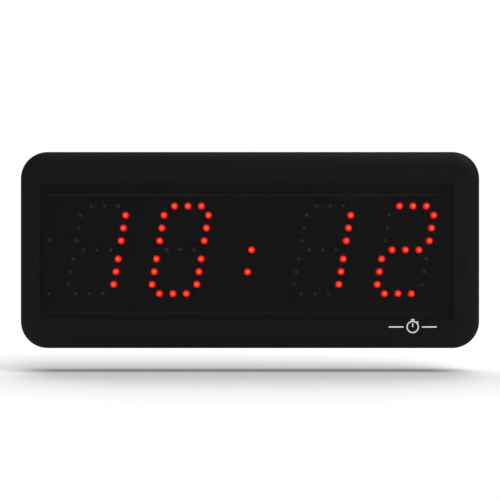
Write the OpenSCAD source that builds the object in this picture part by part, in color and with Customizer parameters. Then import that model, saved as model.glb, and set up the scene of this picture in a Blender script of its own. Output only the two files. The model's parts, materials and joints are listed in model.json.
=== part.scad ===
// Wall-mounted four-digit lamp timer: smoked front cover, masking frame, lamp board, rear housing
// with its electronics, two push buttons under the case, and a steel bracket that the case hangs on.
// Frame: the wall is the plane y = 0, the front faces -Y, +Z is up and +X is to the viewer's right.

/* [Case] */
// Width of the front cover
case_w = 341; // [338:1:350]
// Height of the front cover
case_h = 146; // [142:1:150]
// Depth from the wall to the front of the cover
case_d = 50; // [50:1:54]
// Corner radius of the front cover
corner_r = 20; // [19:0.5:21]
// Depth of the front cover's skirt, face included
cover_d = 20; // [19:0.5:21]
// Thickness of the front cover's face
face_t = 3; // [2.8:0.1:3.1]
// Wall thickness of the mouldings
wall_t = 2.5; // [2.3:0.1:2.6]
// Width of the band where the front face rolls over to the side
roll_run = 12; // [9:1:14]
// Depth of that roll
roll_drop = 5; // [4:0.5:6.5]

/* [Display] */
// Diameter of one lamp
lamp_d = 5; // [4.6:0.1:5.2]
// Height of one lamp above its board
lamp_h = 8.6; // [8:0.1:8.7]
// Sideways pitch of the lamps in a level segment
lamp_pitch_x = 10; // [9:0.1:10.5]
// Upright pitch of the lamps in a side segment
lamp_pitch_z = 9.5; // [9:0.1:9.6]
// Half the width of a digit, between lamp centres
digit_half_w = 16.6; // [16:0.1:17]
// Half the height of a digit, between lamp centres
digit_half_h = 32.6; // [32:0.1:33]
// Lean of the digits to the right, in degrees
digit_slant = 9.75; // [0:0.25:10]
// Distance between two digits of a pair
digit_pitch = 61.8; // [60:0.1:62]
// Distance between the two inner digits
pair_gap = 105.8; // [104:0.1:106]

/* [Bracket] */
// Width of the wall bracket
bracket_w = 180; // [176:1:184]
// Height of the wall bracket
bracket_h = 76; // [74:1:76]
// Thickness of the bracket's steel
steel_t = 1.5; // [1.2:0.1:1.6]
// How far the case lifts before its slots clear the hooks
lift = 9; // [9:0.5:9]

/* [Buttons] */
// Diameter of a button
button_d = 9; // [8:0.5:9]
// How far a button travels
button_travel = 1; // [0.8:0.1:1]

/* [Hidden] */
eps = 0.01;
$fn = 64;

// Depths, measured along Y. Fronts are negative.
front_y = -case_d;
face_in_y = front_y + face_t;
skirt_end_y = front_y + cover_d;
rim_y = -0.5;
slab_back_y = -2.5;
slab_front_y = slab_back_y - 2.5;
pocket_back_y = -6;
pocket_front_y = pocket_back_y - 2.5;
board_t = 1.6;
inner_board_back_y = -15;
inner_board_front_y = inner_board_back_y - board_t;
lamp_board_front_y = face_in_y + 0.4 + 8.6;
lamp_board_back_y = lamp_board_front_y + board_t;
tongue_front_y = skirt_end_y - 3;
mask_front_y = face_in_y + 0.3;
mask_t = 1.5;
mask_skin = 1.6;

// Front cover
cover_fit = 0.3;

// Rear housing
house_w = case_w - 3;
house_h = case_h - 3;
house_r = corner_r - 1.5;
tongue_w = case_w - 2 * wall_t - 2 * cover_fit;
tongue_h = case_h - 2 * wall_t - 2 * cover_fit;
tongue_r = corner_r - wall_t - cover_fit;
tongue_t = 2;
floor_z = -house_h / 2 + wall_t;

// Case screws stand in the four corners
boss_x = case_w / 2 - 11.5;
boss_z = case_h / 2 - 11.5;
boss_r = 4;
tower_r = 4.5;
screw_head_r = 2.8;
screw_well_r = 3.4;
screw_seat_y = -24;

// Window in the masking frame, and the lamp board behind it
window_w = 308;
window_h = 102;
window_at = [-2.5, -1.2];
lamp_board_w = 305;
lamp_board_h = 88.4;
lamp_board_at = [-4.5, -3];
lamp_board_lap = 0.4;
display_at = [1.05, 0.15];
colon_z = [0, -16.5];
indicator_at = [[-149.35, 7.3], [-149.35, -32.4]];
receiver_at = [-139.5, 0];
display_posts = [for (x = [-152, 0, 143.5], z = [-42, 36.5]) [x, z]];

// Wall bracket: a plate, a cable window, four slotted screw holes and four hooks
pocket_w = bracket_w + 16;
pocket_top = bracket_h / 2 + 2;
pocket_bottom = -bracket_h / 2 - lift - 2;
cable_z = -20;
cable_window_w = 50;
cable_window_h = 30;
cable_window_z = cable_z + 1;
hook_x = 60;
hook_w = 12;
hook_rise = 8;
hook_z = [14, -26];
hook_reach_y = pocket_front_y - 1;
slot_spacing_x = 160;
slot_spacing_z = 50;
slot_l = 10;
slot_r = 2.6;
grommet_bore_r = 5;
grommet_seat_r = 7.5;
grommet_flange_r = 10;

// Boards behind the lamp board
inner_board = [112, 80];
power_board_at = [-66, -2];
control_board_at = [68, -2];
board_post_inset = 5;

// Buttons, switches and sounder stand on the floor of the rear housing
button_x = [107, 123];
button_y = -18;
button_clear = 0.3;
button_proud = 0.8;
button_flange_r = 6;
button_flange_t = 1.2;
plunger_tip_z = floor_z + 3.5;
switch_low_z = floor_z + 5.6;
switch_size = [10, 10, 6];
switch_skin = 1;
switch_bore_r = 3.8;
plunger_r = 1.7;
plunger_fit = 0.08;
plunger_flange_r = 3.4;
plunger_flange_t = 0.8;
button_board_z = switch_low_z + switch_size[2];
button_board = [44, 16];
spring_wire_d = 0.4;
spring_r = 2.4;
spring_turns = 3;
sounder_at = [60, -16.8];
sounder_r = 11;
sounder_h = 9.5;
seal_t = 1;

// Figures shown on the four digits, and the segments, a to g, that make each figure
shown = [1, 0, 1, 2];
LIT = ["abcdef", "bc", "abdeg", "abcdg", "bcfg", "acdfg", "acdefg", "abc", "abcdefg", "abcdfg"];
SEGMENTS = "abcdefg";

function lamp_node(n, state) = str("digit_", n, "_", state, "_lamps");

// ---------- shared shapes ----------

// A flat outline drawn in X and Z, carried from y0 to y1
module along_y(y0, y1) {
    translate([0, y1, 0]) rotate([90, 0, 0]) linear_extrude(height = y1 - y0) children();
}

// A rectangle with true arcs at its corners, centred
module round_rect(w, h, r) {
    square([w - 2 * r, h], center = true);
    square([w, h - 2 * r], center = true);
    for (x = [-1, 1], z = [-1, 1])
        translate([x * (w / 2 - r), z * (h / 2 - r)]) circle(r = r);
}

// A band of the given thickness inside a rounded rectangle
module round_ring(w, h, r, t) {
    difference() {
        round_rect(w, h, r);
        round_rect(w - 2 * t, h - 2 * t, r - t);
    }
}

// Half of a section through a rolled box, from u = 0 out to its side at u = reach
module rolled_section(reach, depth, run, drop) {
    steps = 9;
    polygon(concat([[0, 0], [reach, 0]],
                   [for (i = [0:steps]) let (a = 90 * i / steps)
                       [reach - run + run * cos(a), depth - drop + drop * sin(a)]],
                   [[0, depth]]));
}

// A rounded box whose front edge rolls over along a quarter ellipse
module rolled_box(w, h, r, y_front, y_back, run, drop) {
    depth = y_back - y_front;
    for (turn = [0, 180]) translate([0, y_back, 0]) rotate([0, turn, 0]) {
        translate([-w / 2 + r, 0, 0]) rotate([90, 0, 90]) linear_extrude(height = w - 2 * r)
            rotate(90) rolled_section(h / 2, depth, run, drop);
        translate([w / 2 - r, 0, -h / 2 + r]) linear_extrude(height = h - 2 * r)
            mirror([0, 1, 0]) rolled_section(r, depth, run, drop);
    }
    for (q = [[1, 1, 0], [-1, 1, 90], [-1, -1, 180], [1, -1, 270]])
        translate([q[0] * (w / 2 - r), y_back, q[1] * (h / 2 - r)]) rotate([90, 0, 0])
            rotate(q[2]) rotate_extrude(angle = 90, $fn = 96) rolled_section(r, depth, run, drop);
}

// A rod or a hole along Y, by its centre in X and Z
module rod_y(at, r, y0, y1) {
    translate([at[0], y1, at[1]]) rotate([90, 0, 0]) cylinder(r = r, h = y1 - y0);
}

// A rod or a hole along Z, by its centre in X and Y
module rod_z(at, r, z0, z1) {
    translate([at[0], at[1], z0]) cylinder(r = r, h = z1 - z0);
}

// A box from its low corner to its high corner
module block(low, high) {
    translate(low) cube(high - low);
}

module four_corners(x, z) {
    for (sx = [-1, 1], sz = [-1, 1]) translate([sx * x, 0, sz * z]) children();
}

// A pan-head screw whose head sits at y and whose shank runs towards the front or back
module pan_screw(shank_r, length, head_r, head_h, drive_r) {
    difference() {
        union() {
            cylinder(r = shank_r, h = length);
            translate([0, 0, -head_h]) cylinder(r = head_r, h = head_h);
        }
        for (a = [0, 90])
            rotate([0, 0, a])
                translate([-drive_r, -0.35, -head_h - eps]) cube([2 * drive_r, 0.7, head_h * 0.55]);
    }
}

// ---------- front of the case ----------

module front_cover() color([0.05, 0.05, 0.055, 0.8]) {
    inner_r = corner_r - wall_t;
    difference() {
        union() {
            difference() {
                rolled_box(case_w, case_h, corner_r, front_y, skirt_end_y, roll_run, roll_drop);
                rolled_box(case_w - 2 * wall_t, case_h - 2 * wall_t, inner_r,
                           face_in_y, skirt_end_y + 1, roll_run - 2, roll_drop - 1.5);
            }
            for (x = [-1, 1], z = [-1, 1])
                rod_y([x * boss_x, z * boss_z], boss_r, face_in_y - 1, skirt_end_y);
        }
        for (x = [-1, 1], z = [-1, 1])
            rod_y([x * boss_x, z * boss_z], 1.3, face_in_y + 2.5, skirt_end_y + 1);
    }
}

// A printed stopwatch sign between two rules, standing a hair proud of the cover
module front_mark() color("white") {
    mark_at = [120.5, -57];
    along_y(front_y - 0.1, front_y)
        translate(mark_at) {
            difference() {
                circle(r = 4.6);
                circle(r = 3.7);
            }
            translate([0, 5.3]) square([2.6, 1], center = true);
            rotate(-45) translate([0, 5.2]) square([1.4, 0.9], center = true);
            translate([-0.4, 0]) square([0.8, 2.8]);
            for (side = [-1, 1]) translate([side * 12.3, 0]) square([11, 0.9], center = true);
        }
}

// A plate with a window and sloping sides down to the lamp board, carried on a skirt whose
// foot stands on the rear housing's tongue. The corners are left open for the cover's bosses.
module mask_frame() color([0.03, 0.03, 0.032]) {
    plate_w = case_w - 2 * wall_t - 17;
    plate_h = case_h - 2 * wall_t - 17;
    foot_w = case_w - 2 * wall_t - 2;
    foot_h = case_h - 2 * wall_t - 2;
    foot_y = tongue_front_y - 0.1;
    back_y = lamp_board_front_y - 0.3;
    difference() {
        union() {
            along_y(mask_front_y, mask_front_y + mask_t) square([plate_w, plate_h], center = true);
            along_y(mask_front_y, foot_y) frame_2d(plate_w, plate_h, mask_skin);
            along_y(foot_y - mask_t, foot_y)
                frame_2d(foot_w, foot_h, (foot_w - plate_w) / 2 + mask_skin);
            funnel(mask_skin, mask_front_y, back_y);
        }
        funnel(0, mask_front_y - 1, back_y + 1);
        for (x = [-1, 1], z = [-1, 1])
            along_y(mask_front_y - 1, foot_y + 1)
                translate([x * (boss_x + 9), z * (boss_z + 9)]) square(28, center = true);
    }
}

module frame_2d(w, h, t) {
    difference() {
        square([w, h], center = true);
        square([w - 2 * t, h - 2 * t], center = true);
    }
}

// The sloping surround from the window to just inside the edge of the lamp board, grown outwards
// by skin and carried on at the same slope to y0 and y1
module funnel(skin, y0, y1) {
    front = [window_at[0], window_at[1], window_w / 2, window_h / 2];
    rear = [lamp_board_at[0], lamp_board_at[1],
            lamp_board_w / 2 - lamp_board_lap, lamp_board_h / 2 - lamp_board_lap];
    slope = (rear - front) / (lamp_board_front_y - 0.3 - mask_front_y);
    hull()
        for (y = [y0, y1 - eps]) {
            at = front + slope * (y - mask_front_y);
            along_y(y, y + eps)
                translate([at[0], at[1]]) square(2 * [at[2] + skin, at[3] + skin], center = true);
        }
}

// ---------- lamp board ----------

// Where a lamp of a leaning digit stands
function leaning(p) = [p[0] + p[1] * tan(digit_slant), p[1]];

// The three lamps of one segment, in a digit's own frame
function segment_lamps(s) =
    let (side_z = [for (k = [0:2]) digit_half_h - 6.85 - k * lamp_pitch_z],
         level_x = [for (k = [-1:1]) k * lamp_pitch_x])
    s == "a" ? [for (x = level_x) [x, digit_half_h]] :
    s == "d" ? [for (x = level_x) [x, -digit_half_h]] :
    s == "g" ? [for (x = level_x) [x, 0]] :
    s == "b" ? [for (z = side_z) [digit_half_w, z]] :
    s == "c" ? [for (z = side_z) [digit_half_w, -z]] :
    s == "e" ? [for (z = side_z) [-digit_half_w, -z]] :
               [for (z = side_z) [-digit_half_w, z]];

function digit_x(n) =
    let (side = n <= 2 ? -1 : 1, outer = n == 1 || n == 4 ? 1 : 0)
    display_at[0] + side * (pair_gap / 2 + outer * digit_pitch);

function is_lit(n, s) = len(search(s, LIT[shown[n - 1]])) > 0;

function digit_lamps(n, lit) =
    [for (s = SEGMENTS) if (is_lit(n, s) == lit)
        for (p = segment_lamps(s)) leaning(p) + [digit_x(n), display_at[1]]];

function colon_lamps_at() = [for (z = colon_z) leaning([0, z]) + display_at];

function all_lamps() = concat(
    [for (n = [1:4], lit = [true, false]) each digit_lamps(n, lit)],
    colon_lamps_at(), indicator_at);

// A round lamp with its flange on the board and its dome towards the front
module lamp(at) {
    r = lamp_d / 2;
    translate([at[0], lamp_board_front_y, at[1]]) rotate([90, 0, 0])
        rotate_extrude($fn = 32) {
            square([r + 0.4, 1]);
            square([r, lamp_h - r]);
            intersection() {
                translate([0, lamp_h - r]) circle(r = r);
                translate([0, lamp_h - r - 1]) square([r, r + 1]);
            }
        }
}

module lamps(places, tint) color(tint) for (p = places) lamp(p);

module digit_lit_lamps(n) lamps(digit_lamps(n, true), [0.9, 0.12, 0.05]);
module digit_unlit_lamps(n) lamps(digit_lamps(n, false), [0.35, 0.3, 0.3]);
module colon_lamps() lamps(colon_lamps_at(), [0.9, 0.12, 0.05]);
module indicator_lamps() lamps(indicator_at, [0.35, 0.3, 0.3]);

module display_board() color([0.02, 0.03, 0.025]) {
    difference() {
        along_y(lamp_board_front_y, lamp_board_back_y)
            translate(lamp_board_at) square([lamp_board_w, lamp_board_h], center = true);
        for (p = display_posts) rod_y(p, 1.35, lamp_board_front_y - 1, lamp_board_back_y + 1);
    }
}

// A small cone of solder for each lamp lead, on the back of the board
module lamp_solder_joints() color("silver") {
    for (p = all_lamps(), side = [-1, 1])
        translate([p[0] + side * 1.27, lamp_board_back_y, p[1]]) rotate([-90, 0, 0])
            cylinder(r1 = 0.9, r2 = 0.35, h = 1, $fn = 24);
}

// A flat package with legs along two or four sides, its back on z = 0
module chip(size, legs, four_sided) {
    pitch = 1.27;
    leg = [0.5, 1.1, 0.3];
    translate([-size[0] / 2, -size[1] / 2, 0.1]) cube(size);
    for (k = [0:legs - 1], side = [-1, 1]) {
        x = (k - (legs - 1) / 2) * pitch;
        translate([x - leg[0] / 2, side > 0 ? size[1] / 2 - 0.2 : -size[1] / 2 - leg[1] + 0.2, 0])
            cube(leg);
        if (four_sided)
            translate([side > 0 ? size[0] / 2 - 0.2 : -size[0] / 2 - leg[1] + 0.2, x - leg[0] / 2, 0])
                cube([leg[1], leg[0], leg[2]]);
    }
}

module display_driver_chips() color([0.06, 0.06, 0.06]) {
    for (n = [1:4])
        translate([digit_x(n), lamp_board_back_y, -14]) rotate([-90, 0, 0])
            chip([13, 7.5, 2.2], 10, false);
}

module remote_receiver() color([0.1, 0.08, 0.1]) {
    along_y(lamp_board_front_y - 2.2, lamp_board_front_y)
        translate(receiver_at) square([4.4, 5], center = true);
    translate([receiver_at[0], lamp_board_front_y - 2.2, receiver_at[1]]) rotate([90, 0, 0])
        rotate_extrude() intersection() {
            circle(r = 1.5);
            square(2);
        }
}

module display_board_screws() color([0.12, 0.12, 0.12]) {
    for (p = display_posts)
        translate([p[0], lamp_board_front_y, p[1]]) rotate([-90, 0, 0])
            pan_screw(1.1, 8, 2.2, 1.6, 1.3);
}

// ---------- rear housing ----------

module rear_housing() color([0.04, 0.04, 0.042]) {
    difference() {
        union() {
            along_y(skirt_end_y, rim_y) round_ring(house_w, house_h, house_r, wall_t);
            along_y(tongue_front_y, skirt_end_y + 2) round_ring(tongue_w, tongue_h, tongue_r, tongue_t);
            along_y(slab_front_y, slab_back_y) round_rect(house_w - 2, house_h - 2, house_r - 1);
            block([-pocket_w / 2 - wall_t, pocket_front_y, pocket_bottom - wall_t],
                  [pocket_w / 2 + wall_t, slab_back_y, pocket_top + wall_t]);
            for (x = [-1, 1], z = [-1, 1])
                rod_y([x * boss_x, z * boss_z], tower_r, skirt_end_y, slab_front_y + 1);
            for (p = display_posts) rod_y(p, 3.5, lamp_board_back_y, slab_front_y + eps);
            for (p = board_posts()) rod_y(p, 3.5, inner_board_back_y, slab_front_y + eps);
            for (x = [-1, 1])
                rod_z([button_x[0] + 8 + x * 18, button_y], 3, floor_z - eps, button_board_z);
        }
        block([-pocket_w / 2, pocket_back_y, pocket_bottom], [pocket_w / 2, 1, pocket_top]);
        for (x = [-hook_x, hook_x], z = hook_z)
            block([x - hook_w / 2 - 2, pocket_front_y - 1, z - hook_rise - 3],
                  [x + hook_w / 2 + 2, pocket_back_y + 1, z]);
        rod_y([0, cable_z], grommet_seat_r, pocket_front_y - 1, pocket_back_y + 1);
        for (x = [-1, 1], z = [-1, 1]) {
            rod_y([x * boss_x, z * boss_z], 1.7, skirt_end_y - 1, 1);
            rod_y([x * boss_x, z * boss_z], screw_well_r, screw_seat_y, 1);
            rod_y([x * boss_x, z * boss_z], boss_r + 0.4, tongue_front_y - 1, skirt_end_y);
        }
        for (p = display_posts) rod_y(p, 1.1, lamp_board_back_y - 1, lamp_board_back_y + 9);
        for (p = board_posts()) rod_y(p, 1.1, inner_board_back_y - 1, inner_board_back_y + 5.5);
        for (x = [-1, 1])
            rod_z([button_x[0] + 8 + x * 18, button_y], 1, button_board_z - 7, button_board_z + 1);
        for (x = button_x)
            rod_z([x, button_y], button_d / 2 + button_clear, floor_z - wall_t - 1, floor_z + 1);
        sound_holes();
        vents();
    }
}

function posts_of(at) = [for (x = [-1, 1], z = [-1, 1])
    at + [x * (inner_board[0] / 2 - board_post_inset), z * (inner_board[1] / 2 - board_post_inset)]];
function board_posts() = concat(posts_of(power_board_at), posts_of(control_board_at));

module sound_holes() {
    rod_z(sounder_at, 1.1, floor_z - wall_t - 1, floor_z + 1);
    for (a = [0:60:300])
        rod_z(sounder_at + 5 * [cos(a), sin(a)], 1.1, floor_z - wall_t - 1, floor_z + 1);
}

// Rows of cooling slots through the top wall, and through the floor below the power board
module vents() {
    top_z = house_h / 2 - wall_t / 2;
    for (group = [[-86, -top_z], [-86, top_z], [86, top_z]], k = [-5:5])
        translate([group[0] + k * 6, -17, group[1]]) cube([2.4, 12, wall_t + 2], center = true);
}

// Four screws from behind, through the housing's towers and into the cover's bosses
module case_screws() color([0.25, 0.25, 0.26]) {
    for (x = [-1, 1], z = [-1, 1])
        translate([x * boss_x, screw_seat_y, z * boss_z]) rotate([90, 0, 0])
            pan_screw(1.3, 16, screw_head_r, 2.2, 1.7);
}

module rating_plate() color([0.75, 0.75, 0.76]) {
    along_y(slab_back_y, slab_back_y + 0.2)
        translate([0, (pocket_top + wall_t + house_h / 2 - wall_t) / 2]) round_rect(90, 18, 2);
}

module wall_bumpers() color([0.08, 0.08, 0.08]) {
    for (x = [-132, 132], z = [-54, 54]) {
        rod_y([x, z], 6, slab_back_y, -0.6);
        rod_y([x, z], 5.4, -0.6, 0);
    }
}

module cable_grommet() color([0.06, 0.06, 0.06]) {
    difference() {
        union() {
            rod_y([0, cable_z], grommet_flange_r, pocket_back_y, pocket_back_y + 1.5);
            rod_y([0, cable_z], grommet_seat_r, pocket_front_y, pocket_back_y);
            rod_y([0, cable_z], grommet_flange_r - 0.8, pocket_front_y - 1.5, pocket_front_y);
        }
        rod_y([0, cable_z], grommet_bore_r, pocket_front_y - 2, pocket_back_y + 2);
    }
}

// ---------- wall bracket ----------

module wall_bracket() color([0.7, 0.71, 0.72]) {
    difference() {
        along_y(-steel_t, 0) round_rect(bracket_w, bracket_h, 6);
        along_y(-steel_t - 1, 1)
            translate([0, cable_window_z]) round_rect(cable_window_w, cable_window_h, 5);
        for (x = [-1, 1], z = [-1, 1])
            along_y(-steel_t - 1, 1)
                translate([x * slot_spacing_x / 2, z * slot_spacing_z / 2]) screw_slot();
        for (x = [-hook_x, hook_x], z = hook_z)
            block([x - hook_w / 2 - 0.4, -steel_t - 1, z],
                  [x + hook_w / 2 + 0.4, 1, z + hook_rise + 6]);
    }
    for (x = [-hook_x, hook_x], z = hook_z) hook(x, z);
}

module screw_slot() {
    square([slot_l - 2 * slot_r, 2 * slot_r], center = true);
    for (x = [-1, 1]) translate([x * (slot_l / 2 - slot_r), 0]) circle(r = slot_r);
}

// A tab folded out of the plate towards the case, and then upwards, with a rounded bend
module hook(x, z) {
    bend_r = 1;
    outer_r = bend_r + steel_t;
    out_y = hook_reach_y - steel_t;
    translate([x - hook_w / 2, 0, z]) rotate([90, 0, 90]) linear_extrude(height = hook_w) {
        translate([out_y + outer_r, -steel_t]) square([-out_y - outer_r, steel_t]);
        translate([out_y, bend_r]) square([steel_t, hook_rise - bend_r]);
        intersection() {
            translate([out_y + outer_r, bend_r]) difference() {
                circle(r = outer_r);
                circle(r = bend_r);
            }
            translate([out_y, -steel_t]) square(outer_r);
        }
    }
}

// ---------- boards inside ----------

module inner_board_at(at) {
    difference() {
        along_y(inner_board_front_y, inner_board_back_y) translate(at) square(inner_board, center = true);
        for (p = posts_of(at)) rod_y(p, 1.35, inner_board_front_y - 1, inner_board_back_y + 1);
    }
}

module power_board() color([0.05, 0.25, 0.12]) inner_board_at(power_board_at);
module control_board() color([0.05, 0.25, 0.12]) inner_board_at(control_board_at);

// A part standing on the front of an inner board, drawn with its foot on z = 0
module on_board(at) {
    translate([at[0], inner_board_front_y, at[1]]) rotate([90, 0, 0]) children();
}

module board_screws() color([0.7, 0.7, 0.7]) {
    for (p = board_posts())
        translate([p[0], inner_board_front_y, p[1]]) rotate([-90, 0, 0])
            pan_screw(1.1, 6, 2.2, 1.6, 1.3);
    for (x = [-1, 1])
        translate([button_x[0] + 8 + x * 18, button_y, button_board_z + board_t]) rotate([180, 0, 0])
            pan_screw(1, 6, 2.2, 1.6, 1.3);
}

module power_module() color([0.09, 0.09, 0.1]) {
    on_board([-74, 12]) {
        translate([-26, -13.5, 0.4]) cube([52, 27, 15]);
        for (x = [-23, 23], y = [-10.5, 10.5]) translate([x, y, 0]) cylinder(r = 1.2, h = 0.5);
    }
}

terminal_pitch = 5.08;

// A block of screw terminals whose wire mouths face the cable entry
module terminal_block(at, ways, side) {
    length = ways * terminal_pitch;
    on_board(at)
        difference() {
            translate([-5, -length / 2, 0]) cube([10, length, 11]);
            for (k = [0:ways - 1]) {
                y = (k - (ways - 1) / 2) * terminal_pitch;
                translate([side * 3, y, 7]) cylinder(r = 1.9, h = 5);
                translate([side > 0 ? 1 : -6, y - 1.6, 2]) cube([5, 3.2, 3.6]);
            }
        }
}

mains_at = [-20, cable_z];
signal_at = [22, cable_z];

module mains_terminal_block() color([0.2, 0.45, 0.25]) terminal_block(mains_at, 3, 1);
module signal_terminal_block() color([0.2, 0.45, 0.25]) terminal_block(signal_at, 4, -1);

module terminal_screws() color("silver") {
    for (set = [[mains_at, 3, 1], [signal_at, 4, -1]], k = [0:set[1] - 1])
        on_board(set[0])
            translate([set[2] * 3, (k - (set[1] - 1) / 2) * terminal_pitch, 7])
                difference() {
                    cylinder(r = 1.8, h = 2.6);
                    translate([-2, -0.3, 1.6]) cube([4, 0.6, 2]);
                }
}

fuse_at = [-48, -20];

module fuse() color([0.85, 0.87, 0.88, 0.6]) {
    on_board(fuse_at) translate([-10, 0, 5]) rotate([0, 90, 0]) {
        cylinder(r = 2.6, h = 5.5);
        translate([0, 0, 5.5]) cylinder(r = 2.4, h = 9);
        translate([0, 0, 14.5]) cylinder(r = 2.6, h = 5.5);
    }
}

module fuse_clips() color("silver") {
    on_board(fuse_at)
        for (x = [-1, 1])
            difference() {
                translate([x * 7.3 - 2, -3.6, 0]) cube([4, 7.2, 7]);
                translate([x * 7.3 - 3, 0, 5]) rotate([0, 90, 0]) cylinder(r = 2.65, h = 6);
                translate([x * 7.3 - 3, -2, 5]) cube([6, 4, 3]);
            }
}

// Two round cans and one box capacitor, each with a crimped or plain body
module capacitors() color([0.15, 0.16, 0.35]) {
    for (c = [[-26, 14, 5, 15], [-26, 0, 4, 11.5]])
        on_board([c[0], c[1]]) {
            cylinder(r = c[2], h = 1);
            translate([0, 0, 1]) cylinder(r = c[2] - 0.35, h = 0.6);
            translate([0, 0, 1.6]) cylinder(r = c[2], h = c[3] - 1.6);
        }
    on_board([-90, -22]) translate([-9, -4, 0]) cube([18, 8, 13]);
}

module control_chips() color([0.06, 0.06, 0.06]) {
    on_board([78, 4]) chip([12, 12, 1.6], 8, true);
    on_board([104, 4]) chip([13, 7.5, 2.2], 10, false);
    on_board([104, 22]) chip([10, 4, 1.6], 7, false);
}

module crystal() color("silver") {
    on_board([78, -12])
        linear_extrude(height = 3.6) {
            square([6.4, 3.8], center = true);
            for (x = [-1, 1]) translate([x * 3.2, 0]) circle(r = 1.9);
        }
}

cell_at = [104, -20];

module cell_holder() color([0.08, 0.08, 0.08]) {
    on_board(cell_at)
        difference() {
            cylinder(r = 11.6, h = 4.2);
            translate([0, 0, 1.2]) cylinder(r = 10.1, h = 4);
            translate([-4, 8, 1.2]) cube([8, 5, 4]);
        }
}

module backup_cell() color([0.8, 0.8, 0.82]) {
    on_board(cell_at) translate([0, 0, 1.2]) {
        cylinder(r = 9, h = 0.4);
        translate([0, 0, 0.4]) cylinder(r = 10, h = 2.8);
    }
}

// ---------- sounder, buttons and switches ----------

module sounder_seal() color([0.12, 0.12, 0.12]) {
    difference() {
        rod_z(sounder_at, sounder_r, floor_z, floor_z + seal_t);
        rod_z(sounder_at, sounder_r - 3.5, floor_z - 1, floor_z + seal_t + 1);
    }
}

module sounder() color([0.07, 0.07, 0.07]) {
    low = floor_z + seal_t;
    difference() {
        rod_z(sounder_at, sounder_r, low, low + sounder_h);
        rod_z(sounder_at, 2, low - 1, low + 1.5);
    }
}

module button_board() color([0.05, 0.25, 0.12]) {
    difference() {
        translate([button_x[0] + 8 - button_board[0] / 2, button_y - button_board[1] / 2, button_board_z])
            cube([button_board[0], button_board[1], board_t]);
        for (x = [-1, 1])
            rod_z([button_x[0] + 8 + x * 18, button_y], 1.25, button_board_z - 1, button_board_z + 3);
    }
}

module switch_bodies() color([0.1, 0.1, 0.1]) {
    for (x = button_x)
        difference() {
            translate([x - switch_size[0] / 2, button_y - switch_size[1] / 2, switch_low_z])
                cube(switch_size);
            rod_z([x, button_y], plunger_r + plunger_fit, switch_low_z - 1, switch_low_z + 2);
            rod_z([x, button_y], switch_bore_r, switch_low_z + switch_skin, button_board_z - switch_skin);
        }
}

// A button with a domed rim, a flange that stops it on the floor, and a stem that reaches its switch
module button_cap(x) {
    r = button_d / 2;
    low = -house_h / 2 - button_proud;
    translate([x, button_y, 0]) rotate_extrude() {
        translate([0, low]) square([r - 0.6, 1]);
        translate([r - 0.6, low + 0.6]) circle(r = 0.6);
        translate([0, low + 0.6]) square([r, floor_z - low]);
        translate([0, floor_z]) square([button_flange_r, button_flange_t]);
        translate([0, floor_z]) square([2, plunger_tip_z - floor_z]);
    }
}

module switch_plunger(x) {
    flange_z = switch_low_z + switch_skin + 0.1;
    rod_z([x, button_y], plunger_r, plunger_tip_z, flange_z + plunger_flange_t);
    rod_z([x, button_y], plunger_flange_r, flange_z, flange_z + plunger_flange_t);
}

// A closed tube swept along a helix, between the plunger's flange and the top of its switch
module switch_spring(x) {
    low = switch_low_z + switch_skin + 0.1 + plunger_flange_t + spring_wire_d / 2;
    high = button_board_z - switch_skin - spring_wire_d / 2;
    rings = 16 * spring_turns;
    sides = 8;
    points = [for (i = [0:rings], k = [0:sides - 1])
        let (turn = 360 * spring_turns * i / rings,
             around = 360 * k / sides,
             r = spring_r + spring_wire_d / 2 * cos(around))
        [x + r * cos(turn), button_y + r * sin(turn),
         low + (high - low) * i / rings + spring_wire_d / 2 * sin(around)]];
    tube_faces = [for (i = [0:rings - 1], k = [0:sides - 1])
        let (a = i * sides + k, b = i * sides + (k + 1) % sides)
        [a, a + sides, b + sides, b]];
    ends = [[for (k = [0:sides - 1]) k],
            [for (k = [sides - 1:-1:0]) rings * sides + k]];
    polyhedron(points = points, faces = concat(tube_faces, ends));
}

module start_button_cap() color([0.12, 0.12, 0.125]) button_cap(button_x[0]);
module set_button_cap() color([0.12, 0.12, 0.125]) button_cap(button_x[1]);
module start_switch_plunger() color([0.75, 0.1, 0.08]) switch_plunger(button_x[0]);
module set_switch_plunger() color([0.75, 0.1, 0.08]) switch_plunger(button_x[1]);
module start_switch_spring() color("silver") switch_spring(button_x[0]);
module set_switch_spring() color("silver") switch_spring(button_x[1]);

// ---------- cables between the boards ----------

// A flat band of wires that eases from one point to another in a plane, as a closed outline
module eased_band(from, to, thick) {
    steps = 16;
    mid = [for (i = [0:steps]) let (t = i / steps)
        [from[0] + (to[0] - from[0]) * t, from[1] + (to[1] - from[1]) * (1 - cos(180 * t)) / 2]];
    polygon(concat([for (p = mid) p + [0, thick / 2]],
                   [for (i = [steps:-1:0]) mid[i] - [0, thick / 2]]));
}

ribbon_x = 57;
ribbon_w = 18;
ribbon_plug = [22, 8];
ribbon_low_z = -4;
ribbon_high_z = 20;

module ribbon_connectors() color([0.1, 0.1, 0.1]) {
    block([ribbon_x - ribbon_plug[0] / 2, inner_board_front_y - 10.5, ribbon_low_z - ribbon_plug[1] / 2],
          [ribbon_x + ribbon_plug[0] / 2, inner_board_front_y, ribbon_low_z + ribbon_plug[1] / 2]);
    block([ribbon_x - ribbon_plug[0] / 2, lamp_board_back_y, ribbon_high_z - ribbon_plug[1] / 2],
          [ribbon_x + ribbon_plug[0] / 2, lamp_board_back_y + 7, ribbon_high_z + ribbon_plug[1] / 2]);
}

module ribbon_cable() color([0.55, 0.56, 0.58]) {
    translate([ribbon_x - ribbon_w / 2, 0, 0]) rotate([90, 0, 90]) linear_extrude(height = ribbon_w)
        rotate(90) eased_band([ribbon_low_z + ribbon_plug[1] / 2, -inner_board_front_y + 8.5],
                              [ribbon_high_z - ribbon_plug[1] / 2, -lamp_board_back_y - 5.5], 0.9);
}

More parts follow.
